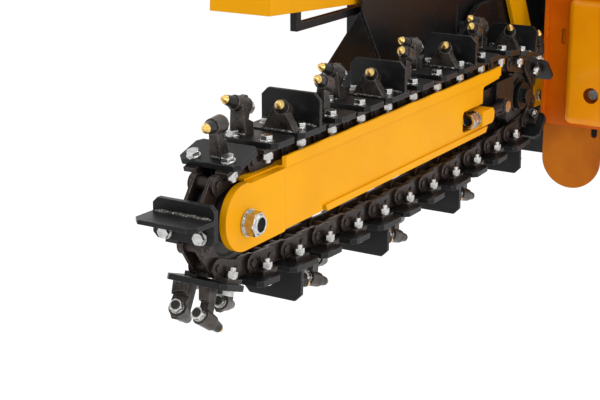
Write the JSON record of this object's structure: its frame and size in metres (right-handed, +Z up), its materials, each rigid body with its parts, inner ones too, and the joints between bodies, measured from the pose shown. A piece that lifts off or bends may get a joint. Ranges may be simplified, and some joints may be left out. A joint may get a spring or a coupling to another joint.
{
  "type": "chain trencher attachment",
  "caption": "Trencher attachment for a compact loader: digging chain with bullet teeth and paddles on a boom, hydraulic drive head, guard, shield and hitch plate.",
  "frame": {"origin": "on the hitch plate's rear face, in the plane of the digging chain, level with the nose axle", "axes": "+X towards the machine, so the boom runs along -X; +Y towards the hydraulic motor; +Z up"},
  "size_m": [1.3582, 0.8, 0.519],
  "materials": {
    "yellow_paint": "gloss enamel",
    "orange_paint": "gloss enamel",
    "black_paint": "satin enamel",
    "chain_steel": "oiled dark steel",
    "pin_steel": "ground steel",
    "tooth_steel": "forged, oiled",
    "tip_brass": "brazed hard tip",
    "zinc": "zinc plated",
    "cast_iron": "as cast, painted dark"
  },
  "bodies": {
    "frame": {"bearing_housing": "cast_iron", "boom_ribs": "yellow_paint", "boom_tongue": "black_paint", "boom_web_far": "yellow_paint", "boom_web_near": "yellow_paint", "bottom_rail": "yellow_paint", "brace": "yellow_paint", "brace_fasteners": "zinc", "chain_bushings": "chain_steel", "chain_guard": "black_paint", "chain_pins": "chain_steel", "digging_plates": "black_paint", "drive_shaft": "pin_steel", "drive_sprocket": "cast_iron", "frame_tubes": "black_paint", "guard_bolts": "zinc", "guard_flange": "black_paint", "head_socket": "black_paint", "hinge_bracket": "black_paint", "hitch_plate": "black_paint", "hitch_stiffeners": "black_paint", "hood_hinge_pin": "pin_steel", "hydraulic_motor": "cast_iron", "idler_sleeve": "pin_steel", "inner_side_bars": "chain_steel", "main_side_plate": "black_paint", "motor_bolts": "zinc", "motor_end_cap": "cast_iron", "motor_fittings": "zinc", "nose_bolt": "zinc", "nose_nut_and_washers": "zinc", "nose_plate_far": "yellow_paint", "nose_plate_near": "yellow_paint", "outer_side_bars": "chain_steel", "plate_bolts": "zinc", "plate_nuts": "zinc", "shaft_bearing": "pin_steel", "shaft_end_cap": "zinc", "shield_panel": "orange_paint", "shield_supports": "orange_paint", "shoe_fasteners": "zinc", "shoe_guide": "orange_paint", "spoil_paddles": "black_paint", "spoil_shield": "orange_paint", "sprocket_hub": "cast_iron", "tension_eye_bolt": "pin_steel", "tension_fasteners": "zinc", "tension_lug": "yellow_paint", "tooth_blocks": "chain_steel", "tooth_bodies": "tooth_steel", "tooth_gussets": "chain_steel", "tooth_lock_nuts": "zinc", "tooth_posts": "chain_steel", "tooth_tips": "tip_brass", "top_rail": "yellow_paint"},
    "idler": {"idler_wheel": "cast_iron", "idler_bearings": "pin_steel"},
    "hood": {"hood": "yellow_paint", "hood_bar": "black_paint"},
    "shoe": {"depth_shoe": "orange_paint"}
  },
  "joints": [
    {"name": "idler_spin", "type": "hinge", "parent": "frame", "child": "idler", "pos_m": [-1.223, 0, 0], "axis": [0, 1, 0], "continuous": true},
    {"name": "hood_hinge", "type": "hinge", "parent": "frame", "child": "hood", "pos_m": [-0.523, 0.148, 0.265], "axis": [0, 1, 0], "range_deg": [0, 80]},
    {"name": "shoe_height", "type": "slide", "parent": "frame", "child": "shoe", "axis": [0, 0, 1], "range_m": [0, 0.08]}
  ]
}
